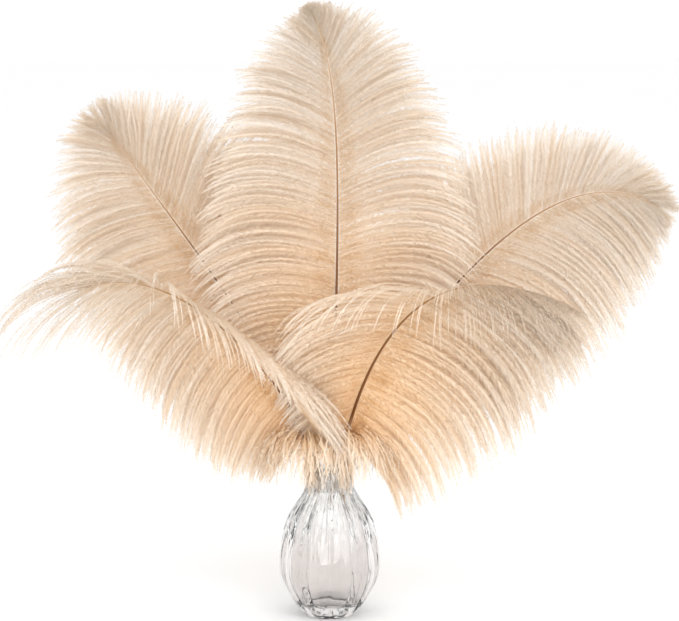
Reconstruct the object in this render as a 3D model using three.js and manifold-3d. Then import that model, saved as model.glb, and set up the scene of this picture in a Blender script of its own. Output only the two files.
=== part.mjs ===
// Five ostrich plumes standing in a clear fluted glass bud vase.
// Millimetres, +Z up. The origin is the centre of the vase's foot and the
// plumes' good faces look along -Y.

import * as THREE from 'three';
import { mergeVertices } from 'three/addons/utils/BufferGeometryUtils.js';
import Module from 'manifold-3d';

const wasm = await Module();
wasm.setup();

// ---------------------------------------------------------------------------
// Driving dimensions
// ---------------------------------------------------------------------------

// Vase: the outer outline as [radius, height], from the flat foot to the lip.
// Inside, the floor is level out to a share of the wall's radius and dips at
// its middle.
const VASE_OUTLINE = [
  [16.5, 0], [23.2, 6.7], [33.2, 24.1], [35.8, 40.1], [30.6, 67.7],
  [18.1, 89.4], [14.4, 100], [16.2, 109], [20.4, 120],
];
const FLUTES = 14;
const FLUTE_DEPTH = 1.1;
const FLUTE_FOOT_FADE = [1, 12];
const FLUTE_NECK_FADE = [88, 114];
const WALL = 2.3;
const FLOOR_HEIGHT = 11;
const FLOOR_EDGE = 0.62;
const FLOOR_DIP = 1;
const OUTER_RINGS = 11;
const INNER_RINGS = 7;

// Quills and shafts. A shaft's frame is carried along it in steps.
const QUILL_RADIUS = 1.4;
const SHAFT_TIP_RADIUS = 0.45;
const SHAFT_SIDES = 4;
const SHAFT_RINGS = 14;
const FRAME_STEPS = 80;

// Vane locks: how many on each side of a shaft and how each one is shaped.
// A barb droops by the first share of its droop at its root and by the second
// at its end. The stations are the steps along it where the blade has a
// section, with the last at its point. Fill is the share of the room to its
// neighbours that it takes, and thickness and root depth are shares of the
// shaft's radius. Stagger leans every second lock forwards and the rest back.
const LOCKS_PER_SIDE = 24;
const BARB_STEPS = 16;
const DROOP_PROFILE = [0.3, 1.7];
const LOCK_STATIONS = [0, 5, 11, 16];
const LOCK_FILL = [0.8, 0.96, 0.94];
const LOCK_HALF_WIDTH = [0.8, 6];
const LOCK_THICKNESS = 1.2;
const LOCK_ROOT_DEPTH = 0.4;
const LOCK_STAGGER = 0.09;

// The section of a blade: a three-sided rod of radius 1 is this high and half
// this wide at its base.
const BLADE_SIDES = 3;
const BLADE_HEIGHT = 1.5;
const BLADE_HALF_BASE = Math.cos(Math.PI / 6);

// Free space kept between two separate pieces. A lock that would come closer
// to another piece is tried shorter, as a share of its length, and leaned more.
const CLEARANCE = 0.3;
const SHORTER = [1, 0.9, 0.8, 0.65, 0.5, 0.35];
const LEANED = [0, 0.12, -0.12, 0.25, -0.25];

// Edges shorter than the first length, left where locks meet a shaft, are
// closed up, and vertices nearer to each other than the second are one.
const SHORT_EDGE = 0.05;
const SAME_VERTEX = 1e-4;

// The plumes. path is the shaft from the quill's end to the tip, face is the
// way that its good face looks, and vaneStart is the share of the shaft below
// the first barb. Left and right are as seen from the front. Each list runs
// from the vane's root to its tip: the barbs' length in mm, their angle to the
// shaft in degrees, how fast they droop (per mm) and how far they lift off the
// vane towards the good face.
const PLUMES = [
  {
    name: 'feather_centre',
    path: [[0.5, -1, 88], [4, 7, 153], [3, 24, 258], [16, 32, 374], [-13, 14, 425]],
    face: [0, -1, 0.1],
    vaneStart: 0.13,
    left: {
      length: [36, 92, 106, 91, 63, 6],
      angle: [100, 74, 60, 52, 46, 12],
      droop: [0.014, 0.016, 0.016, 0.014, 0.011, 0.006],
      lift: [0.1],
    },
    right: {
      length: [36, 92, 104, 92, 64, 6],
      angle: [100, 72, 58, 50, 45, 12],
      droop: [0.014, 0.016, 0.016, 0.014, 0.011, 0.006],
      lift: [0.1],
    },
  },
  {
    name: 'feather_left_back',
    path: [[-2, 3.5, 88], [-23, 10, 168], [-90, 50, 246], [-143, 62, 315], [-159, 52, 341]],
    face: [0.1, -1, 0.2],
    vaneStart: 0.17,
    left: {
      length: [28, 53, 80, 86, 68, 24],
      angle: [90, 76, 68, 64, 60, 10],
      droop: [0.010],
      lift: [0.1],
    },
    right: {
      length: [28, 66, 88, 84, 60, 24],
      angle: [90, 70, 62, 56, 45, 10],
      droop: [0.006, 0.008, 0.009, 0.010, 0.008, 0.002],
      lift: [0.1],
    },
  },
  {
    name: 'feather_right_back',
    path: [[2, 3.2, 88], [25, 10, 174], [98, 45, 244], [162, 55, 327], [233, 40, 288]],
    face: [-0.1, -1, 0.2],
    vaneStart: 0.17,
    left: {
      length: [28, 58, 76, 66, 44, 18],
      angle: [90, 68, 58, 56, 50, 16],
      droop: [0.002],
      lift: [0.1],
    },
    right: {
      length: [28, 84, 115, 110, 78, 18],
      angle: [95, 72, 60, 56, 50, 16],
      droop: [0.013],
      lift: [0.1],
    },
  },
  {
    name: 'feather_left_front',
    path: [[-3, -4, 88], [-12, -6, 147], [-61, -50, 211], [-105, -85, 261], [-157, -105, 246]],
    face: [-0.2, -1, 0.2],
    vaneStart: 0.17,
    left: {
      length: [42, 72, 83, 74, 60, 84],
      angle: [105, 105, 98, 86, 56, 6],
      droop: [0.022, 0.022, 0.022, 0.018, 0.012, 0.008],
      lift: [0.1],
    },
    right: {
      length: [34, 56, 80, 96, 108, 100, 72, 62, 90, 98, 86],
      angle: [130, 140, 150, 158, 164, 160, 140, 100, 24, 14, 5],
      droop: [0.020, 0.016, 0.010, 0.006, 0.003, 0.004, 0.020, 0.040, 0.007, 0.007, 0.008],
      lift: [0.35, 0.35, 0.35, 0.33, 0.3, 0.3, 0.6, 0.9, 0.1, 0, 0],
    },
  },
  {
    name: 'feather_right_front',
    path: [[4, -4.5, 88], [11, -8, 141], [30, -40, 222], [73, -80, 261], [131, -105, 241]],
    face: [0.1, -1, 0.2],
    vaneStart: 0.17,
    left: {
      length: [30, 44, 58, 70, 82, 96, 100, 70, 72, 70, 50],
      angle: [122, 120, 118, 116, 116, 118, 116, 50, 34, 22, 8],
      droop: [0.014, 0.014, 0.014, 0.013, 0.013, 0.012, 0.012, 0.035, 0.022, 0.014, 0.006],
      lift: [0.1, 0.1, 0.1, 0.1, 0.1, 0.05, 0.05, 0.6, 0.5, 0.3, 0],
    },
    right: {
      length: [64, 91, 107, 106, 88, 46],
      angle: [118, 92, 76, 68, 46, 8],
      droop: [0.020, 0.016, 0.013, 0.012, 0.008, 0.006],
      lift: [0.1],
    },
  },
];

// ---------------------------------------------------------------------------
// Materials
// ---------------------------------------------------------------------------

const glass = new THREE.MeshStandardMaterial({
  color: 0xe9edee, roughness: 0.04, metalness: 0, transparent: true, opacity: 0.35,
});
const plume = new THREE.MeshStandardMaterial({ color: 0xf0dac4, roughness: 0.85, metalness: 0 });

// ---------------------------------------------------------------------------
// Solids
// ---------------------------------------------------------------------------

// A closed geometry as a solid: shared vertices merged, flat triangles dropped.
function toSolid(geometry) {
  geometry.deleteAttribute('normal');
  geometry.deleteAttribute('uv');
  const merged = mergeVertices(geometry, SAME_VERTEX);
  const index = merged.index.array;
  const triangles = [];
  for (let i = 0; i < index.length; i += 3) {
    const [a, b, c] = [index[i], index[i + 1], index[i + 2]];
    if (a !== b && b !== c && c !== a) triangles.push(a, b, c);
  }
  return new wasm.Manifold(new wasm.Mesh({
    numProp: 3,
    vertProperties: new Float32Array(merged.attributes.position.array),
    triVerts: new Uint32Array(triangles),
  }));
}

// A solid as a named mesh.
function toMesh(name, solid, material) {
  const { vertProperties, triVerts } = solid.getMesh();
  const geometry = new THREE.BufferGeometry();
  geometry.setAttribute('position', new THREE.BufferAttribute(new Float32Array(vertProperties), 3));
  geometry.setIndex(new THREE.BufferAttribute(new Uint32Array(triVerts), 1));
  geometry.computeVertexNormals();
  const mesh = new THREE.Mesh(geometry, material);
  mesh.name = name;
  return mesh;
}

// Joined solids as one body. A small space that they close in between them is a
// part of its own in the result, with a negative volume, and is filled.
function joinSolids(solids) {
  const parts = wasm.Manifold.union(solids).simplify(SHORT_EDGE).decompose();
  const bodies = parts.filter((part) => part.volume() > 0);
  if (bodies.length !== 1) throw new Error(`${bodies.length - 1} locks have come off a shaft`);
  return bodies[0];
}

// The ring that ends a rod in a point.
function pointRing(centre) {
  return { centre, side: new THREE.Vector3(), front: new THREE.Vector3() };
}

// A rod swept through rings. Each ring has a centre, a half width along its
// side axis and a half thickness along its front axis, both as vectors.
function sweptRod(sides, rings) {
  const geometry = new THREE.CylinderGeometry(1, 1, rings.length - 1, sides, rings.length - 1);
  geometry.translate(0, (rings.length - 1) / 2, 0);
  const position = geometry.attributes.position;
  const vertex = new THREE.Vector3();
  for (let i = 0; i < position.count; i += 1) {
    const ring = rings[Math.round(position.getY(i))];
    vertex.copy(ring.centre)
      .addScaledVector(ring.side, position.getX(i))
      .addScaledVector(ring.front, position.getZ(i));
    position.setXYZ(i, vertex.x, vertex.y, vertex.z);
  }
  return toSolid(geometry);
}

// ---------------------------------------------------------------------------
// Vase: a fluted teardrop with a thick floor, a narrow neck and a flared lip
// ---------------------------------------------------------------------------

// How deep the flutes' creases are at a height: they fade out to the foot and
// through the neck.
function creaseDepth(height) {
  return FLUTE_DEPTH * THREE.MathUtils.smoothstep(height, ...FLUTE_FOOT_FADE)
    * (1 - THREE.MathUtils.smoothstep(height, ...FLUTE_NECK_FADE));
}

function makeVase() {
  const outline = new THREE.SplineCurve(VASE_OUTLINE.map((point) => new THREE.Vector2(...point)));
  const outer = outline.getSpacedPoints(OUTER_RINGS);
  const inner = outline.getSpacedPoints(INNER_RINGS)
    .filter(({ y }) => y > FLOOR_HEIGHT + WALL)
    .map(({ x, y }) => new THREE.Vector2(x - creaseDepth(y) - WALL, y))
    .reverse();
  const profile = [
    new THREE.Vector2(0, 0),
    ...outer,
    ...inner,
    new THREE.Vector2(inner.at(-1).x * FLOOR_EDGE, FLOOR_HEIGHT),
    new THREE.Vector2(0, FLOOR_HEIGHT - FLOOR_DIP),
  ];
  // Two segments a flute: a crown and a crease, turned so that Z is up.
  const geometry = new THREE.LatheGeometry(profile, 2 * FLUTES);
  geometry.rotateX(Math.PI / 2);
  const position = geometry.attributes.position;
  for (let i = 0; i < position.count; i += 1) {
    const row = i % profile.length;
    const column = Math.floor(i / profile.length);
    if (row === 0 || row > outer.length || column % 2 === 0) continue;
    const [x, y, z] = [position.getX(i), position.getY(i), position.getZ(i)];
    const scale = 1 - creaseDepth(z) / Math.hypot(x, y);
    position.setXYZ(i, x * scale, y * scale, z);
  }
  return toSolid(geometry);
}

// ---------------------------------------------------------------------------
// Plumes
// ---------------------------------------------------------------------------

// The shaft's line: one Bezier curve through all its control points.
class ShaftCurve extends THREE.Curve {
  constructor(points) {
    super();
    this.points = points.map((point) => new THREE.Vector3(...point));
  }

  getPoint(t, target = new THREE.Vector3()) {
    let row = this.points;
    while (row.length > 1) {
      row = row.slice(1).map((point, i) => row[i].clone().lerp(point, t));
    }
    return target.copy(row[0]);
  }
}

// The value of an evenly spaced list at a share of its run.
function along(list, share) {
  const place = share * (list.length - 1);
  const i = Math.min(Math.floor(place), list.length - 2);
  return list.length === 1 ? list[0] : THREE.MathUtils.lerp(list[i], list[i + 1], place - i);
}

// The shaft's radius, thinning evenly from the quill to the tip.
function shaftRadius(share) {
  return THREE.MathUtils.lerp(QUILL_RADIUS, SHAFT_TIP_RADIUS, share);
}

// A share of the vane's run as a share of the whole shaft.
function vaneShare(spec, share) {
  return THREE.MathUtils.lerp(spec.vaneStart, 1, share);
}

// The shaft with its frames: the tangent, the normal carried along without
// twist from the plume's face, and the side direction.
class Shaft {
  constructor({ path, face }) {
    this.curve = new ShaftCurve(path);
    this.frames = [];
    const normal = new THREE.Vector3(...face);
    for (let i = 0; i <= FRAME_STEPS; i += 1) {
      const tangent = this.curve.getTangentAt(i / FRAME_STEPS);
      normal.addScaledVector(tangent, -normal.dot(tangent)).normalize();
      this.frames.push(normal.clone());
    }
  }

  at(share) {
    // The point lies on the straight run between two of the solid's rings.
    const run = Math.min(Math.floor(share * SHAFT_RINGS), SHAFT_RINGS - 1);
    const point = this.curve.getPointAt(run / SHAFT_RINGS)
      .lerp(this.curve.getPointAt((run + 1) / SHAFT_RINGS), share * SHAFT_RINGS - run);
    const tangent = this.curve.getTangentAt(share);
    const normal = this.frames[Math.round(share * FRAME_STEPS)].clone();
    normal.addScaledVector(tangent, -normal.dot(tangent)).normalize();
    const side = new THREE.Vector3().crossVectors(tangent, normal);
    return { point, tangent, normal, side };
  }

  solid() {
    const rings = [];
    for (let i = 0; i <= SHAFT_RINGS; i += 1) {
      const share = i / SHAFT_RINGS;
      const { point, normal, side } = this.at(share);
      const radius = shaftRadius(share);
      rings.push({
        centre: point,
        side: side.clone().add(normal).multiplyScalar(radius),
        front: normal.clone().sub(side).multiplyScalar(radius),
      });
    }
    return sweptRod(SHAFT_SIDES, rings);
  }
}

// One barb's line, drooping as it goes: sign is -1 on the left side and +1 on
// the right, share is its place on the vane, and fit shortens or leans it.
function barbLine(shaft, spec, sign, share, fit) {
  const barbs = sign < 0 ? spec.left : spec.right;
  const shaftShare = vaneShare(spec, share);
  const { point, tangent, normal, side } = shaft.at(shaftShare);
  const angle = THREE.MathUtils.degToRad(along(barbs.angle, share));
  const direction = tangent.multiplyScalar(Math.cos(angle))
    .addScaledVector(side, sign * Math.sin(angle))
    .addScaledVector(normal, along(barbs.lift, share) + fit.lean)
    .normalize();
  const step = (along(barbs.length, share) * fit.reach) / BARB_STEPS;
  const droop = along(barbs.droop, share);
  // A barb leaves the shaft from its flank, just under its surface.
  const outward = side.multiplyScalar(sign * shaftRadius(shaftShare) * LOCK_ROOT_DEPTH);
  const points = [point.add(outward).clone()];
  for (let i = 0; i < BARB_STEPS; i += 1) {
    const out = (i + 0.5) / BARB_STEPS;
    direction.z -= droop * step * THREE.MathUtils.lerp(...DROOP_PROFILE, out);
    direction.normalize();
    points.push(point.addScaledVector(direction, step).clone());
  }
  return points;
}

// One lock: a thin curved blade between two neighbouring barbs, with a ridge
// on its front, that narrows to its tip. Its front is carried along the barb
// from the root without twist.
function makeLock(shaft, spec, sign, number, fit) {
  const pitch = 1 / LOCKS_PER_SIDE;
  const share = (number + 0.5) * pitch;
  const middle = barbLine(shaft, spec, sign, share, fit);
  const lower = barbLine(shaft, spec, sign, share - pitch / 2, fit);
  const upper = barbLine(shaft, spec, sign, share + pitch / 2, fit);
  const thickness = LOCK_THICKNESS * shaftRadius(vaneShare(spec, share));
  const front = new THREE.Vector3();
  const rings = LOCK_STATIONS.map((step, i) => {
    if (step === BARB_STEPS) return pointRing(middle[step]);
    const forward = middle[step + 1].clone().sub(middle[Math.max(step - 1, 0)]).normalize();
    const across = upper[step].clone().sub(lower[step]).multiplyScalar(sign * 0.5);
    if (step === 0) {
      // The root lies flat along the shaft, and the rest is square to the barb.
      front.crossVectors(across, forward);
    } else {
      const room = across.addScaledVector(forward, -across.dot(forward)).length();
      front.addScaledVector(forward, -front.dot(forward));
      across.crossVectors(forward, front).setLength(room);
    }
    across.multiplyScalar(LOCK_FILL[i]).clampLength(...LOCK_HALF_WIDTH);
    front.setLength(thickness / BLADE_HEIGHT);
    return { centre: middle[step], side: across.divideScalar(BLADE_HALF_BASE), front: front.clone() };
  });
  return sweptRod(BLADE_SIDES, rings);
}

// Whether a solid keeps its clearance to all the others.
function isClear(solid, others) {
  const box = solid.boundingBox();
  return others.every((other) => {
    const apart = [0, 1, 2].some((axis) => box.min[axis] > other.box.max[axis] + CLEARANCE
      || other.box.min[axis] > box.max[axis] + CLEARANCE);
    return apart || solid.minGap(other.solid, 2 * CLEARANCE) > CLEARANCE;
  });
}

// A lock that is leaned or shortened until it clears the other pieces.
function fitLock(shaft, spec, sign, number, others) {
  const stagger = number % 2 === 0 ? LOCK_STAGGER : -LOCK_STAGGER;
  for (const reach of SHORTER) {
    for (const more of LEANED) {
      const lock = makeLock(shaft, spec, sign, number, { reach, lean: stagger + more });
      if (isClear(lock, others)) return lock;
    }
  }
  throw new Error(`${spec.name} has no room for lock ${number}`);
}

function makePlumes(vase) {
  const placed = [{ owner: 'vase', solid: vase, box: vase.boundingBox() }];
  const shafts = PLUMES.map((spec) => new Shaft(spec));
  const bodies = shafts.map((shaft) => [shaft.solid()]);
  bodies.forEach(([solid], i) => {
    placed.push({ owner: PLUMES[i].name, solid, box: solid.boundingBox() });
  });
  PLUMES.forEach((spec, i) => {
    const others = placed.filter((piece) => piece.owner !== spec.name);
    for (let number = 0; number < LOCKS_PER_SIDE; number += 1) {
      for (const sign of [-1, 1]) {
        const lock = fitLock(shafts[i], spec, sign, number, others);
        bodies[i].push(lock);
        placed.push({ owner: spec.name, solid: lock, box: lock.boundingBox() });
      }
    }
  });
  return PLUMES.map((spec, i) => toMesh(spec.name, joinSolids(bodies[i]), plume));
}

// ---------------------------------------------------------------------------
// The arrangement
// ---------------------------------------------------------------------------

const vase = makeVase();
const arrangement = new THREE.Group();
arrangement.add(toMesh('vase', vase, glass));
arrangement.add(...makePlumes(vase));

export default arrangement;
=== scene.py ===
"""Five ostrich plumes standing in a clear fluted glass bud vase.

The pieces' sizes are in millimetres, and MM turns them into the metres of the meshes.
The studio's places and sizes are in metres.
"""
import math

import bmesh
import bpy
import numpy as np
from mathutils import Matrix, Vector, noise


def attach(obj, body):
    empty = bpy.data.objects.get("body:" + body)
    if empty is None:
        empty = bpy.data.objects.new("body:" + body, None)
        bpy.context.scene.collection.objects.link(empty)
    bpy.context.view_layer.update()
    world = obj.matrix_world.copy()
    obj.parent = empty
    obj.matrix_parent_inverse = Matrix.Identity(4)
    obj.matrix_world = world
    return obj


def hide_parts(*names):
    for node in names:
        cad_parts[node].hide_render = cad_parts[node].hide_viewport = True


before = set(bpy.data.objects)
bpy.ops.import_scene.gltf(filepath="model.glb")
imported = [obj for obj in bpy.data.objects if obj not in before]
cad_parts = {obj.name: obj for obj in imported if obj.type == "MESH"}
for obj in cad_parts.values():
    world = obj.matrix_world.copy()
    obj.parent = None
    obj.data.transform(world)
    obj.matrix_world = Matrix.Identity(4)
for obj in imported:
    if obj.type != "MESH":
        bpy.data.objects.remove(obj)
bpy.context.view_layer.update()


# ---------------------------------------------------------------------------
# Vase. Clear glass, pressed and blown in a fluted mould, so that fourteen soft creases
# run from the foot to the neck and fade out under the lip. Its floor is thick, its rim
# is melted round and it stands free on its foot.
# ---------------------------------------------------------------------------

MM = 0.001
VASE_OUTLINE = [(16.5, 0), (23.2, 6.7), (33.2, 24.1), (35.8, 40.1), (30.6, 67.7),
                (18.1, 89.4), (14.4, 100), (16.2, 109), (20.4, 120)]
FLUTES = 14
FLUTE_DEPTH = 1.9
INNER_FLUTE_DEPTH = 1.1
STEPS_PER_FLUTE = 24
WALL = 2.2
FLOOR_HEIGHT = 10
RIPPLE = 0.3
RIPPLE_SIZE = 9
DRAWN_LINES = 0.95
LINES_ROUND = 13
LINE_HEIGHT = 14
LINES_FADE = (50, 62)
CREASES_SOFTEN = (45, 70)


def smooth(edge_low, edge_high, value):
    """A smooth step from 0 to 1 between two edges."""
    t = np.clip((value - edge_low) / (edge_high - edge_low), 0, 1)
    return t * t * (3 - 2 * t)


def smooth_line(points, per_span):
    """A smooth line through points, each a radius and a height."""
    held = np.array([points[0], *points, points[-1]], float)
    line = []
    for a, b, c, d in zip(held, held[1:], held[2:], held[3:]):
        for t in np.linspace(0, 1, per_span, endpoint=False):
            line.append(0.5 * (2 * b + (c - a) * t + (2 * a - 5 * b + 4 * c - d) * t ** 2
                               + (3 * b - a - 3 * c + d) * t ** 3))
    line.append(held[-1])
    return np.array(line)


def flute_fade(height):
    """How strong the creases are at a height, from 0 to 1."""
    return smooth(1, 10, height) * (1 - smooth(96, 119, height))


def vase_profile():
    """The wall's section from the foot's middle, over the lip, to the floor inside."""
    outer = smooth_line(VASE_OUTLINE, 9)
    inner = outer[outer[:, 1] > FLOOR_HEIGHT + WALL][::-1].copy()
    inner[:, 0] -= WALL + FLUTE_DEPTH * flute_fade(inner[:, 1])
    lip = [outer[-1] + (-0.15, 0.45), (outer[-1] + inner[0]) / 2 + (0, 0.8), inner[0] + (0.15, 0.45)]
    edge = inner[-1][0]
    floor = [(0.93 * edge, FLOOR_HEIGHT + 1.1), (0.8 * edge, FLOOR_HEIGHT + 0.4),
             (0.45 * edge, FLOOR_HEIGHT + 0.9), (0, FLOOR_HEIGHT + 1.6)]
    foot = [(0, 1.4), (9, 1.0), (13.5, 0.2)]
    return [*foot, *outer, *lip, *inner[1:], *floor], len(foot) + len(outer)


def vase_mesh():
    """The section spun round the axis, then creased and rippled as moulded glass is."""
    profile, first_inner = vase_profile()
    shape = bmesh.new()
    side = shape.verts.layers.int.new("side")
    section = []
    for k, (radius, height) in enumerate(profile):
        vert = shape.verts.new((radius * MM, 0, height * MM))
        vert[side] = 1 if k < first_inner else -1
        section.append(vert)
    edges = [shape.edges.new(pair) for pair in zip(section, section[1:])]
    bmesh.ops.spin(shape, geom=section + edges, cent=(0, 0, 0), axis=(0, 0, 1),
                   angle=2 * math.pi, steps=FLUTES * STEPS_PER_FLUTE, use_merge=True)
    bmesh.ops.remove_doubles(shape, verts=shape.verts, dist=0.01 * MM)
    for vert in shape.verts:
        radius = math.hypot(vert.co.x, vert.co.y) / MM
        if radius < 1:
            continue
        height = vert.co.z / MM
        # The flutes stand out between creases, and the inner wall follows them more softly.
        turn = math.atan2(vert.co.y, vert.co.x) * FLUTES / 2
        crease = 1 - abs(math.cos(turn)) if vert[side] > 0 else abs(math.cos(turn)) - 1
        depth = FLUTE_DEPTH if vert[side] > 0 else INNER_FLUTE_DEPTH
        # Each side of the wall has ripples and drawn lines of its own.
        spot = Vector((vert.co.x, vert.co.y, 0.45 * vert.co.z)) / (RIPPLE_SIZE * MM)
        ripple = RIPPLE * noise.noise(spot + Vector((0, 0, 7.3 * vert[side])))
        round_it = Vector((vert.co.x, vert.co.y, 0)) * LINES_ROUND / (radius * MM)
        round_it.z = height / LINE_HEIGHT + 5.1 * vert[side]
        drawn = DRAWN_LINES * (0.12 + 0.88 * smooth(*LINES_FADE, height))
        ripple += drawn * noise.noise(round_it)
        fade = flute_fade(height)
        soft = 0.6 + 0.4 * smooth(*CREASES_SOFTEN, height)
        scale = 1 + fade * (ripple - soft * depth * crease * min(1, radius / 20)) / radius
        vert.co.x *= scale
        vert.co.y *= scale
    bmesh.ops.recalc_face_normals(shape, faces=shape.faces)
    for face in shape.faces:
        face.smooth = True
    mesh = bpy.data.meshes.new("vase_glass")
    shape.to_mesh(mesh)
    shape.free()
    return mesh


def ramp(nodes, stops):
    """A colour ramp with the given (place, colour) stops."""
    node = nodes.new("ShaderNodeValToRGB")
    elements = node.color_ramp.elements
    while len(elements) < len(stops):
        elements.new(0.5)
    for element, (place, colour) in zip(elements, stops):
        element.position = place
        element.color = (*colour, 1)
    return node


def glass_material():
    """Clear polished glass, tinted a warm grey from the foot to about mid-height as a painted
    refraction of a warm surface seen through it.
    """
    material = bpy.data.materials.new("clear_glass")
    material.use_nodes = True
    nodes, links = material.node_tree.nodes, material.node_tree.links
    shader = nodes["Principled BSDF"]
    place = nodes.new("ShaderNodeTexCoord")
    split = nodes.new("ShaderNodeSeparateXYZ")
    links.new(place.outputs["Object"], split.inputs["Vector"])
    height = nodes.new("ShaderNodeMapRange")
    height.inputs["From Max"].default_value = VASE_OUTLINE[-1][1] * MM
    links.new(split.outputs["Z"], height.inputs["Value"])
    # Painted refraction: the glass turns a warm grey up to about mid-height, standing in for a warm
    # surface seen through the vase.
    painted_refraction_tint = ramp(nodes, [(0.0, (0.87, 0.85, 0.84)), (0.08, (0.862, 0.838, 0.826)),
                        (0.42, (0.862, 0.838, 0.826)), (0.52, (0.97, 0.968, 0.963)),
                        (1.0, (0.98, 0.98, 0.975))])
    links.new(height.outputs["Result"], painted_refraction_tint.inputs["Fac"])
    links.new(painted_refraction_tint.outputs["Color"], shader.inputs["Base Color"])
    shader.inputs["Roughness"].default_value = 0.0
    shader.inputs["IOR"].default_value = 1.5
    shader.inputs["Transmission Weight"].default_value = 1.0
    return material


def finish_piece(name, mesh, node, material):
    """The mesh as a piece that rides on the root in place of a part's node."""
    piece = bpy.data.objects.new(name, mesh)
    bpy.context.collection.objects.link(piece)
    mesh.materials.append(material)
    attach(piece, "root")
    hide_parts(node)


finish_piece("vase_glass", vase_mesh(), "vase", glass_material())


# ---------------------------------------------------------------------------
# Shafts. The horn rib of each plume, cut from its quill: pale where it stood in
# the skin, brown along the lower vane and bleached towards the tip. All five are
# gathered in the neck and arch out of it.
# ---------------------------------------------------------------------------

SHAFTS = {
    "feather_centre": ([(0.5, -1, 88), (4, 7, 153), (3, 24, 258), (16, 32, 374),
                        (-13, 14, 425)], (0, -1, 0.1)),
    "feather_left_back": ([(-2, 3.5, 88), (-23, 10, 168), (-90, 50, 246), (-143, 62, 315),
                           (-159, 52, 341)], (0.1, -1, 0.2)),
    "feather_right_back": ([(2, 3.2, 88), (25, 10, 174), (98, 45, 244), (162, 55, 327),
                            (233, 40, 288)], (-0.1, -1, 0.2)),
    "feather_left_front": ([(-3, -4, 88), (-12, -6, 147), (-61, -50, 211), (-105, -85, 261),
                            (-157, -105, 246)], (-0.2, -1, 0.2)),
    "feather_right_front": ([(4, -4.5, 88), (11, -8, 141), (30, -40, 222), (73, -80, 261),
                             (131, -105, 241)], (0.1, -1, 0.2)),
}
QUILL_RADIUS = 1.3
SHAFT_TIP_RADIUS = 0.25
SHAFT_SIDES = 10
SHAFT_RINGS = 60


def unit(vectors):
    """Vectors along the last axis, made one long."""
    return vectors / np.maximum(np.linalg.norm(vectors, axis=-1, keepdims=True), 1e-9)


class Shaft:
    """A shaft's line with its frames, evenly spaced along its length."""

    SAMPLES = 401

    def __init__(self, path, face):
        t = np.linspace(0, 1, self.SAMPLES)[None, :, None]
        row = np.array(path, float)[:, None, :]
        while len(row) > 1:
            row = row[:-1] * (1 - t) + row[1:] * t
        run = np.concatenate([[0], np.cumsum(np.linalg.norm(np.diff(row[0], axis=0), axis=1))])
        self.share = np.linspace(0, 1, self.SAMPLES)
        self.point = np.stack([np.interp(self.share * run[-1], run, row[0][:, i])
                               for i in range(3)], axis=-1)
        self.tangent = unit(np.gradient(self.point, axis=0))
        normals = []
        normal = np.array(face, float)
        for tangent in self.tangent:
            normal = unit(normal - (normal @ tangent) * tangent)
            normals.append(normal)
        self.normal = np.array(normals)
        self.side = np.cross(self.tangent, self.normal)

    def at(self, share):
        """The points, tangents, normals and sides at shares of the shaft."""
        return [np.stack([np.interp(share, self.share, values[:, i]) for i in range(3)], -1)
                for values in (self.point, self.tangent, self.normal, self.side)]

    @staticmethod
    def radius(share):
        """The shaft's radius, which thins towards the tip."""
        return QUILL_RADIUS + (SHAFT_TIP_RADIUS - QUILL_RADIUS) * np.asarray(share) ** 1.1


def shaft_mesh(name, shaft):
    """A tapered rod: a ring of edges, extruded along the shaft's line."""
    shares = np.linspace(0, 1, SHAFT_RINGS + 1)
    points, _, normals, sides = shaft.at(shares)
    radii = shaft.radius(shares)
    turns = np.linspace(0, 2 * math.pi, SHAFT_SIDES, endpoint=False)
    shape = bmesh.new()
    layer = shape.verts.layers.float_color.new("fibre")

    def place(ring, k):
        for vert, turn in zip(ring, turns):
            out = math.cos(turn) * sides[k] + math.sin(turn) * normals[k]
            vert.co = Vector((points[k] + radii[k] * out) * MM)
            vert[layer] = (0, shares[k], 0.5, 1)

    ring = bmesh.ops.create_circle(shape, segments=SHAFT_SIDES, radius=MM)["verts"]
    place(ring, 0)
    first = ring
    for k in range(1, SHAFT_RINGS + 1):
        edges = list({edge for vert in ring for edge in vert.link_edges
                      if edge.other_vert(vert) in ring})
        made = bmesh.ops.extrude_edge_only(shape, edges=edges)["geom"]
        grown = [item for item in made if isinstance(item, bmesh.types.BMVert)]
        following = {vert: next(edge.other_vert(vert) for edge in vert.link_edges
                                if edge.other_vert(vert) in grown) for vert in ring}
        ring = [following[vert] for vert in ring]
        place(ring, k)
    for end in (first, ring):
        bmesh.ops.contextual_create(shape, geom=end)
    bmesh.ops.recalc_face_normals(shape, faces=shape.faces)
    for face in shape.faces:
        face.smooth = True
    mesh = bpy.data.meshes.new(name)
    shape.to_mesh(mesh)
    shape.free()
    return mesh


def horn_material():
    """Horn with a low gloss, its colour read along the shaft."""
    material = bpy.data.materials.new("plume_horn")
    material.use_nodes = True
    nodes, links = material.node_tree.nodes, material.node_tree.links
    shader = nodes["Principled BSDF"]
    fibre = nodes.new("ShaderNodeAttribute")
    fibre.attribute_name = "fibre"
    split = nodes.new("ShaderNodeSeparateColor")
    links.new(fibre.outputs["Color"], split.inputs["Color"])
    colour = ramp(nodes, [(0.0, (0.96, 0.94, 0.91)), (0.1, (0.92, 0.87, 0.78)),
                          (0.15, (0.7, 0.5, 0.3)), (0.24, (0.14, 0.045, 0.006)),
                          (0.5, (0.19, 0.07, 0.01)), (0.75, (0.34, 0.17, 0.05)),
                          (1.0, (0.6, 0.42, 0.27))])
    links.new(split.outputs["Green"], colour.inputs["Fac"])
    links.new(colour.outputs["Color"], shader.inputs["Base Color"])
    shader.inputs["Roughness"].default_value = 0.4
    return material


horn = horn_material()
shafts = {}
for node, (path, face) in SHAFTS.items():
    shafts[node] = Shaft(path, face)
    name = node.replace("feather", "shaft")
    finish_piece(name, shaft_mesh(name, shafts[node]), node, horn)
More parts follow.
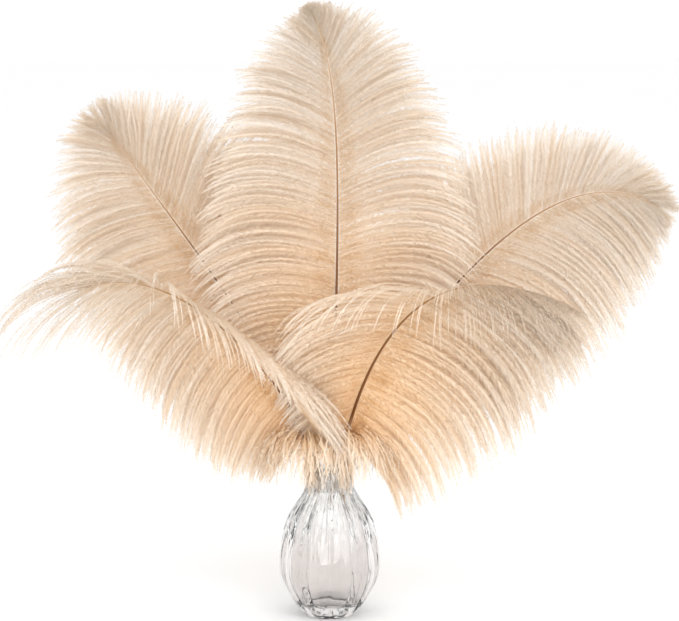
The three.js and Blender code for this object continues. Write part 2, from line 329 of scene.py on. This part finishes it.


# ---------------------------------------------------------------------------
# Vanes. Several hundred loose barbs on each side of a shaft, dyed champagne. A
# barb has no hooks, so it bends down under its own weight and its fine barbules
# stand out on both sides of it as a soft comb. Neighbours cling a little.
# ---------------------------------------------------------------------------

# Where the vane starts as a share of the shaft, and how far up the dye ramp its tip reaches:
# a smaller reach keeps a plume lighter and less grey, partly its own dye and partly painted
# light on plumes that lie in more shade. Then for each side the barbs' length in mm, angle to
# the shaft in degrees, droop per mm and lift towards the good face. Fluff is 1 where barbules
# are full and less where they are worn off. Every row is evenly spaced from the vane's root to
# its tip.
VANES = {
    "feather_centre": dict(
        start=0.13, tip_dye_and_painted_light=1.0,
        left=dict(length=[36, 92, 105, 90, 63, 6], angle=[100, 80, 70, 62, 50, 12],
                  droop=[0.014, 0.014, 0.0125, 0.011, 0.010, 0.006], lift=[0.1]),
        right=dict(length=[36, 92, 103, 91, 64, 6], angle=[100, 78, 68, 60, 49, 12],
                   droop=[0.014, 0.014, 0.0125, 0.011, 0.010, 0.006], lift=[0.1]),
    ),
    "feather_left_back": dict(
        start=0.17, tip_dye_and_painted_light=0.75,
        left=dict(length=[28, 58, 87, 93, 72, 24], angle=[90, 76, 68, 64, 60, 10],
                  droop=[0.010], lift=[0.1]),
        right=dict(length=[28, 66, 91, 90, 65, 24], angle=[90, 70, 62, 56, 45, 10],
                   droop=[0.006, 0.008, 0.009, 0.010, 0.008, 0.002], lift=[0.1]),
    ),
    "feather_right_back": dict(
        start=0.17, tip_dye_and_painted_light=0.95,
        left=dict(length=[28, 60, 78, 69, 47, 18], angle=[90, 68, 58, 56, 50, 16],
                  droop=[0.002], lift=[0.1]),
        right=dict(length=[28, 84, 110, 104, 76, 18], angle=[95, 72, 60, 56, 50, 16],
                   droop=[0.013], lift=[0.1]),
    ),
    "feather_left_front": dict(
        start=0.17, tip_dye_and_painted_light=0.75,
        left=dict(length=[42, 72, 83, 74, 60, 84], angle=[105, 105, 98, 86, 56, 6],
                  droop=[0.022, 0.022, 0.022, 0.018, 0.013, 0.012], lift=[0.1],
                  fluff=[1, 1, 1, 1, 0.5, 0.15]),
        right=dict(length=[14, 28, 52, 78, 104, 100, 72, 62, 90, 98, 86],
                   angle=[130, 140, 150, 158, 164, 160, 140, 100, 24, 14, 5],
                   droop=[0.02, 0.016, 0.01, 0.006, 0.003, 0.004, 0.02, 0.04, 0.011, 0.013,
                          0.014],
                   lift=[0.35, 0.35, 0.35, 0.33, 0.3, 0.3, 0.6, 0.9, 0.1, 0, 0],
                   fluff=[1, 1, 1, 1, 1, 0.8, 0.6, 0.4, 0.55, 0.45, 0.35]),
    ),
    "feather_right_front": dict(
        start=0.17, tip_dye_and_painted_light=0.7,
        left=dict(length=[30, 44, 58, 70, 82, 96, 100, 70, 72, 70, 50],
                  angle=[122, 120, 118, 116, 116, 118, 116, 50, 34, 22, 8],
                  droop=[0.014, 0.014, 0.014, 0.013, 0.013, 0.012, 0.012, 0.035, 0.022, 0.014,
                         0.006],
                  lift=[0.1, 0.1, 0.1, 0.1, 0.1, 0.05, 0.05, 0.6, 0.5, 0.3, 0],
                  fluff=[1, 1, 1, 1, 0.9, 0.7, 0.5, 0.3, 0.35, 0.6, 1]),
        right=dict(length=[66, 97, 112, 107, 88, 46], angle=[118, 92, 76, 68, 46, 8],
                   droop=[0.020, 0.016, 0.013, 0.012, 0.008, 0.006], lift=[0.1]),
    ),
}
BARBS_PER_SIDE = 372
BARBULES = 118
CLUMPS_PER_SIDE = 88
BARBULE_LENGTH = 5.8
BARBULE_ANGLE = 27
BARB_CURL = 0.012
LOOSE_SHARE = 0.2
CLING = (0.05, 0.5)
LIGHT_THROUGH = 0.22
DOWNWARD = np.array([0.0, 0.0, -1.0])
rng = np.random.default_rng(7)


def along(values, share):
    """Evenly spaced values read at shares of their run."""
    return np.interp(share, np.linspace(0, 1, len(values)), values)


def bent_lines(roots, directions, lengths, droops, curls, steps):
    """Lines that set out along their directions, sag more and more, and curl at the end."""
    points = [roots]
    direction = unit(directions)
    step = (lengths / steps)[:, None]
    for i in range(steps):
        out = (i + 0.5) / steps
        sag = droops[:, None] * step * (0.3 + 1.4 * out)
        curl = curls * step * smooth(0.5, 1.0, out)
        direction = unit(direction + sag * DOWNWARD + curl)
        points.append(points[-1] + direction * step)
    return np.stack(points, axis=1)


def side_barbs(shaft, vane, sign, share, turn, rise, stretch, curl):
    """The lines of one side's barbs, each turned, raised and stretched a little."""
    barbs = vane["left"] if sign < 0 else vane["right"]
    on_shaft = vane["start"] + (1 - vane["start"]) * share
    point, tangent, normal, side = shaft.at(on_shaft)
    angle = np.radians(along(barbs["angle"], share) + turn)[:, None]
    lift = (along(barbs["lift"], share) + rise)[:, None]
    direction = np.cos(angle) * tangent + np.sin(angle) * sign * side + lift * normal
    radius = shaft.radius(on_shaft)[:, None]
    root = point + 0.7 * radius * sign * side - 0.35 * radius * normal
    lines = bent_lines(root, direction, along(barbs["length"], share) * stretch,
                       along(barbs["droop"], share), curl[:, None] * normal, BARBULES)
    return lines, normal


def waves(count, steps, size, spread):
    """Soft waves that grow towards the barbs' ends."""
    out = np.linspace(0, 1, steps + 1)[None, :]
    phase = rng.uniform(0, 2 * math.pi, (count, 1))
    cycles = rng.uniform(0.6, 1.6, (count, 1)) * spread
    return size * out ** 1.6 * np.sin(2 * math.pi * cycles * out + phase)


def vane_side(shaft, vane, sign):
    """All the barbs of one side: lines, faces, places on the shaft, tones and fluff."""
    count = BARBS_PER_SIDE
    share = (np.arange(count) + rng.uniform(0.15, 0.85, count)) / count
    edges = np.linspace(0, 1, CLUMPS_PER_SIDE + 1)
    edges[1:-1] += rng.uniform(-0.35, 0.35, CLUMPS_PER_SIDE - 1) / CLUMPS_PER_SIDE
    clump = np.clip(np.searchsorted(edges, share) - 1, 0, CLUMPS_PER_SIDE - 1)
    centre = ((edges[:-1] + edges[1:]) / 2)[clump]

    # Neighbours share a clump, which turns, rises and reaches as one.
    clump_turn = rng.normal(0, 0.3, CLUMPS_PER_SIDE)[clump]
    clump_rise = rng.normal(0, 0.02, CLUMPS_PER_SIDE)[clump]
    clump_size = rng.normal(1, 0.025, CLUMPS_PER_SIDE)[clump]
    # Each barb strays a little from its clump. Where the barbules are worn off, barbs
    # stray further and more of them have broken short.
    size = clump_size * np.clip(rng.normal(1, 0.055, count), 0.8, 1.09)
    fluff = along((vane["left"] if sign < 0 else vane["right"]).get("fluff", [1]), share)
    bare = 1 - fluff
    size[rng.random(count) < 0.6 * bare] *= 0.5
    curl = np.clip(rng.normal(BARB_CURL, 0.006, count), 0, 0.03)
    own_turn = rng.normal(0, 0.8 + 3 * bare + 8 * smooth(0.93, 1, share))
    own_rise = np.clip(rng.normal(0, 0.05, count), -0.1, 0.1)
    own, normal = side_barbs(shaft, vane, sign, share, clump_turn + own_turn,
                             clump_rise + own_rise, size, curl)
    shared, _ = side_barbs(shaft, vane, sign, centre, clump_turn, clump_rise, size, curl)

    # Their outer halves are drawn towards the clump, but a few hang loose.
    out = np.linspace(0, 1, BARBULES + 1)[None, :]
    cling = rng.uniform(*CLING, count)[:, None] * smooth(0.45, 1.0, out)
    loose = rng.random(count) < LOOSE_SHARE
    cling[loose] *= 0.1
    cling *= fluff[:, None]
    lines = own + (shared - own) * cling[..., None]

    across = np.cross(unit(np.gradient(lines, axis=1)), normal[:, None, :])
    sway = 0.9 + 1.3 * loose
    lines = lines + across * waves(count, BARBULES, sway[:, None], 1.0)[..., None]
    lines = lines + normal[:, None, :] * waves(count, BARBULES, 1.5, 1.0)[..., None]
    tone = 0.6 * rng.random(CLUMPS_PER_SIDE)[clump] + 0.4 * rng.random(count)
    # How far up the dye ramp the barb sits: a plume with less reach stays lighter, partly its own
    # dye and partly painted light on plumes that lie in more shade.
    place = vane["start"] + (1 - vane["start"]) * share * vane["tip_dye_and_painted_light"]
    return lines, normal, place, tone, fluff * (1 - 0.25 * loose)


def combed(lines, faces, place, tone, fluff, length):
    """Barbs as arrays: on each side of a line, one slim triangle for each barbule."""
    count, points = lines.shape[0], lines.shape[1]
    steps = points - 1
    out = (np.arange(steps) + 0.5) / steps
    forward = unit(np.diff(lines, axis=1))
    middle = 0.5 * (lines[:, :-1] + lines[:, 1:])
    across = unit(np.cross(forward, faces[:, None, :]))
    face = np.cross(across, forward)
    open_out = 0.7 + 0.3 * smooth(0.05, 0.45, out)
    reach = length * fluff[:, None] * open_out * (1 - 0.76 * smooth(0.66, 1, out))
    vertices = [lines.reshape(-1, 3)]
    for hand in (-1, 1):
        size = reach * rng.uniform(0.5, 1.2, (count, steps))
        angle = np.radians(rng.normal(BARBULE_ANGLE, 6, (count, steps)))
        tilt = rng.normal(0, 0.22, (count, steps))
        direction = (np.cos(angle)[..., None] * forward
                     + hand * np.sin(angle)[..., None] * across
                     + tilt[..., None] * face)
        vertices.append((middle + direction * size[..., None]).reshape(-1, 3))
    base = (np.arange(count)[:, None] * points + np.arange(steps)[None, :]).ravel()
    tips = np.arange(count * steps)
    left = np.stack([base + 1, base, count * points + tips], axis=1)
    right = np.stack([base, base + 1, count * (points + steps) + tips], axis=1)

    def fibre(share, pale):
        values = np.ones((count, len(share), 4))
        values[..., 0] = share
        values[..., 1] = place[:, None]
        # Blue holds the barb's own random tone and a painted light: 1 along the barb's line, less at
        # its barbule tips.
        values[..., 2] = 0.5 * tone[:, None] + 0.5 * pale
        return values.reshape(-1, 4)

    def hidden(share):
        """Every second barb lies in its neighbour's shadow close to the shaft."""
        return (np.arange(count) % 2)[:, None] * (1 - smooth(0.08, 0.2, share))

    # Painted light and shade: each barb's line is kept light, while its barbule tips near the shaft
    # are darkened for the shaded gaps between barbs, and every second barb gets painted shade close
    # to the shaft.
    on_line = fibre(np.linspace(0, 1, points), 1.0 - 1.5 * hidden(np.linspace(0, 1, points)))
    on_tip = fibre(out, 0.6 * smooth(0.5, 1.0, out) - 0.4 * hidden(out))
    return (np.concatenate(vertices), np.concatenate([left, right]),
            np.concatenate([on_line, on_tip, on_tip]))


def combed_mesh(name, parts):
    """Sets of combed barbs joined in one mesh, with the fibre attribute."""
    vertices, triangles, fibres, start = [], [], [], 0
    for part_vertices, part_triangles, part_fibre in parts:
        vertices.append(part_vertices)
        triangles.append(part_triangles + start)
        fibres.append(part_fibre)
        start += len(part_vertices)
    corners = np.concatenate(triangles)
    mesh = bpy.data.meshes.new(name)
    mesh.vertices.add(start)
    mesh.vertices.foreach_set("co", (np.concatenate(vertices) * MM).astype(np.float32).ravel())
    mesh.loops.add(corners.size)
    mesh.loops.foreach_set("vertex_index", corners.astype(np.int32).ravel())
    mesh.polygons.add(len(corners))
    mesh.polygons.foreach_set("loop_start", np.arange(0, corners.size, 3, dtype=np.int32))
    mesh.polygons.foreach_set("use_smooth", np.ones(len(corners), dtype=bool))
    mesh.update(calc_edges=True)
    layer = mesh.attributes.new("fibre", "FLOAT_COLOR", "POINT")
    layer.data.foreach_set("color", np.concatenate(fibres).astype(np.float32).ravel())
    return mesh


def plume_material():
    """Dyed barbs: silky, with light coming through, with painted shade greying their very ends and
    darkening the barbules near the shaft.
    """
    material = bpy.data.materials.new("plume_barbs")
    material.use_nodes = True
    nodes, links = material.node_tree.nodes, material.node_tree.links
    shader = nodes["Principled BSDF"]
    fibre = nodes.new("ShaderNodeAttribute")
    fibre.attribute_name = "fibre"
    split = nodes.new("ShaderNodeSeparateColor")
    links.new(fibre.outputs["Color"], split.inputs["Color"])

    def blended(mode, first, second):
        blend = nodes.new("ShaderNodeMix")
        blend.data_type = "RGBA"
        blend.blend_type = mode
        blend.inputs["Factor"].default_value = 1.0
        links.new(first, blend.inputs["A"])
        links.new(second, blend.inputs["B"])
        return blend

    # The root of the plume took more dye, and its tip is greyer.
    dye = ramp(nodes, [(0.1, (0.96, 0.91, 0.84)), (0.14, (0.97, 0.84, 0.69)),
                       (0.18, (0.98, 0.76, 0.5)), (0.3, (0.96, 0.77, 0.54)),
                       (0.42, (0.88, 0.73, 0.56)), (0.6, (0.77, 0.68, 0.58)),
                       (0.8, (0.72, 0.65, 0.575)), (1.0, (0.69, 0.64, 0.575))])
    links.new(split.outputs["Green"], dye.inputs["Fac"])
    # A barb pales to cream on its way out, and its last few millimetres are darkened to grey as
    # painted shade.
    cream = ramp(nodes, [(0.0, (0.92, 0.85, 0.76)), (0.6, (0.84, 0.78, 0.71)),
                         (1.0, (0.73, 0.67, 0.6))])
    links.new(split.outputs["Green"], cream.inputs["Fac"])
    paling = ramp(nodes, [(0.2, (0, 0, 0)), (0.6, (0.5, 0.5, 0.5)), (0.9, (0.9, 0.9, 0.9))])
    links.new(split.outputs["Red"], paling.inputs["Fac"])
    faded = blended("MIX", dye.outputs["Color"], cream.outputs["Color"])
    links.new(paling.outputs["Color"], faded.inputs["Factor"])
    # Painted shade: the last tenth of each barb is darkened towards grey, for the shaded look of
    # fine strand ends.
    tip = ramp(nodes, [(0.9, (1.0, 1.0, 1.0)), (1.0, (0.88, 0.86, 0.84))])
    links.new(split.outputs["Red"], tip.inputs["Fac"])
    # The barb's own tone mixed with painted shade: low values give the darker orange of the shaded
    # gaps near the shaft.
    tone_and_painted_shade = ramp(nodes, [(0.0, (0.78, 0.62, 0.45)), (0.15, (0.86, 0.71, 0.54)),
                            (1.0, (1.0, 1.0, 1.0))])
    links.new(split.outputs["Blue"], tone_and_painted_shade.inputs["Fac"])
    dyed = blended("MULTIPLY", faded.outputs["Result"], tip.outputs["Color"])
    colour = blended("MULTIPLY", dyed.outputs["Result"], tone_and_painted_shade.outputs["Color"]).outputs["Result"]
    links.new(colour, shader.inputs["Base Color"])
    shader.inputs["Roughness"].default_value = 0.5
    shader.inputs["Specular IOR Level"].default_value = 0.4
    through = nodes.new("ShaderNodeBsdfTranslucent")
    links.new(colour, through.inputs["Color"])
    both = nodes.new("ShaderNodeMixShader")
    both.inputs["Fac"].default_value = LIGHT_THROUGH
    links.new(shader.outputs["BSDF"], both.inputs[1])
    links.new(through.outputs["BSDF"], both.inputs[2])
    links.new(both.outputs["Shader"], nodes["Material Output"].inputs["Surface"])
    return material


barbs = plume_material()
for node, vane in VANES.items():
    name = node.replace("feather", "vane")
    sides = [combed(*vane_side(shafts[node], vane, sign), BARBULE_LENGTH) for sign in (-1, 1)]
    finish_piece(name, combed_mesh(name, sides), node, barbs)


# ---------------------------------------------------------------------------
# Down. The short curly barbs that grow round the top of each quill, dyed with the
# plume and softer than its vane. They fill the neck of the vase, which holds the
# quills, and spill over its lip.
# ---------------------------------------------------------------------------

LIP_HEIGHT = 121
DOWN_IN_NECK = 60
DOWN_OVER_LIP = 190
DOWN_BARBULES = 42
DOWN_BARBULE_LENGTH = 2.8


def down_barbs(shaft, count, heights, outside, rise, lengths, droops):
    """Curly barbs round a quill between two heights, given as vane_side gives them."""
    height = rng.uniform(*heights, count)
    share = np.interp(height, shaft.point[:, 2], shaft.share)
    point, _, _, _ = shaft.at(share)
    flat = np.array([1.0, 1.0, 0.0])
    turn = rng.uniform(0, 2 * math.pi, count)
    ring = np.stack([np.cos(turn), np.sin(turn), np.zeros(count)], axis=-1)
    outward = unit(0.9 * unit(point * flat) + ring)
    direction = rng.uniform(*outside, (count, 1)) * outward
    direction = direction - rng.uniform(*rise, (count, 1)) * DOWNWARD
    lines = bent_lines(point + 1.2 * ring, direction, rng.uniform(*lengths, count),
                       rng.uniform(*droops, count), np.zeros((count, 3)), DOWN_BARBULES)
    across = np.cross(outward, DOWNWARD)
    lines = lines + across[:, None, :] * waves(count, DOWN_BARBULES, 2.0, 1.4)[..., None]
    return lines, outward, share, rng.random(count), rng.uniform(0.5, 1, count)


for node, shaft in shafts.items():
    name = node.replace("feather", "down")
    in_neck = down_barbs(shaft, DOWN_IN_NECK, heights=(LIP_HEIGHT - 6, LIP_HEIGHT + 4),
                         outside=(0.05, 0.35), rise=(-1.2, -0.9), lengths=(20, 33),
                         droops=(0.04, 0.08))
    over_lip = down_barbs(shaft, DOWN_OVER_LIP, heights=(LIP_HEIGHT + 3, LIP_HEIGHT + 14),
                          outside=(0.9, 1.1), rise=(0.1, 0.7), lengths=(34, 58),
                          droops=(0.045, 0.075))
    tufts = [combed(*tuft, DOWN_BARBULE_LENGTH) for tuft in (in_neck, over_lip)]
    finish_piece(name, combed_mesh(name, tufts), node, barbs)


# ---------------------------------------------------------------------------
# Studio. A pale floor under the vase, white surroundings with grey bands that draw
# the glass, and three soft boxes in front.
# ---------------------------------------------------------------------------

# How light the walls are, from straight ahead (0) round to the sides (1).
WALL_SHADES = [(0.05, 1.0), (0.06, 0.2), (0.075, 0.2), (0.09, 1.0), (0.14, 1.0), (0.18, 0.45),
               (0.22, 0.45), (0.27, 1.0), (0.45, 0.95), (0.49, 0.2), (0.55, 0.2), (0.6, 1.0),
               (0.74, 0.9), (0.82, 0.06), (0.92, 0.06), (1.0, 0.7)]
FLOOR_HALF_SIZE = 30
CAMERA_PLACE = (0.0069, -1.5, 0.412)
CAMERA_LENS = 114.6
CAMERA_LOOKS_DOWN = 7.39


def pale_floor():
    """One wide pale sheet under the vase."""
    mesh = bpy.data.meshes.new("floor")
    shape = bmesh.new()
    bmesh.ops.create_grid(shape, x_segments=1, y_segments=1, size=FLOOR_HALF_SIZE)
    shape.to_mesh(mesh)
    shape.free()
    floor = bpy.data.objects.new("floor", mesh)
    bpy.context.collection.objects.link(floor)
    material = bpy.data.materials.new("pale_floor")
    material.use_nodes = True
    shader = material.node_tree.nodes["Principled BSDF"]
    shader.inputs["Base Color"].default_value = (0.97, 0.97, 0.97, 1)
    shader.inputs["Roughness"].default_value = 1.0
    shader.inputs["Specular IOR Level"].default_value = 0.0
    mesh.materials.append(material)


def soft_light(name, place, target, size, power):
    """A square soft box that faces its target."""
    light = bpy.data.lights.new(name, "AREA")
    light.shape = "SQUARE"
    light.size = size
    light.energy = power
    lamp = bpy.data.objects.new(name, light)
    lamp.location = place
    lamp.rotation_euler = (Vector(target) - Vector(place)).to_track_quat("-Z", "Y").to_euler()
    bpy.context.collection.objects.link(lamp)


def surroundings():
    """White to the eye and on dull things, with grey bands that gloss and glass pick up."""
    world = bpy.data.worlds.new("white_studio")
    world.use_nodes = True
    nodes, links = world.node_tree.nodes, world.node_tree.links
    lit = nodes["Background"]
    lit.inputs["Strength"].default_value = 1.0
    seen = nodes.new("ShaderNodeBackground")
    seen.inputs["Color"].default_value = (1, 1, 1, 1)
    seen.inputs["Strength"].default_value = 1.05
    direction = nodes.new("ShaderNodeTexCoord")
    split = nodes.new("ShaderNodeSeparateXYZ")
    links.new(direction.outputs["Generated"], split.inputs["Vector"])
    sideways = nodes.new("ShaderNodeMath")
    sideways.operation = "ABSOLUTE"
    links.new(split.outputs["X"], sideways.inputs[0])
    walls = ramp(nodes, [(place, (shade, shade, shade)) for place, shade in WALL_SHADES])
    links.new(sideways.outputs["Value"], walls.inputs["Fac"])
    links.new(walls.outputs["Color"], lit.inputs["Color"])
    ray = nodes.new("ShaderNodeLightPath")
    plain = nodes.new("ShaderNodeMath")
    plain.operation = "MAXIMUM"
    links.new(ray.outputs["Is Camera Ray"], plain.inputs[0])
    links.new(ray.outputs["Is Diffuse Ray"], plain.inputs[1])
    choice = nodes.new("ShaderNodeMixShader")
    links.new(plain.outputs["Value"], choice.inputs["Fac"])
    links.new(lit.outputs["Background"], choice.inputs[1])
    links.new(seen.outputs["Background"], choice.inputs[2])
    links.new(choice.outputs["Shader"], nodes["World Output"].inputs["Surface"])
    bpy.context.scene.world = world
    bpy.context.scene.view_settings.view_transform = "Standard"


def viewpoint():
    """Level with the plumes' upper half, looking a little down."""
    lens = bpy.data.cameras.new("camera")
    lens.sensor_width = 36
    lens.lens = CAMERA_LENS
    lens.clip_end = 50
    eye = bpy.data.objects.new("camera", lens)
    eye.location = CAMERA_PLACE
    eye.rotation_euler = (math.radians(90 - CAMERA_LOOKS_DOWN), 0, 0)
    bpy.context.collection.objects.link(eye)
    bpy.context.scene.camera = eye


pale_floor()
surroundings()
soft_light("key", (-0.1, -0.9, 1.5), (0, 0, 0.25), size=1.4, power=7)
soft_light("front", (0.12, -1.9, 0.15), (0, 0, 0.25), size=1.2, power=19)
soft_light("fill", (0.9, -1.1, 0.8), (0.1, -0.05, 0.22), size=0.8, power=4)
viewpoint()
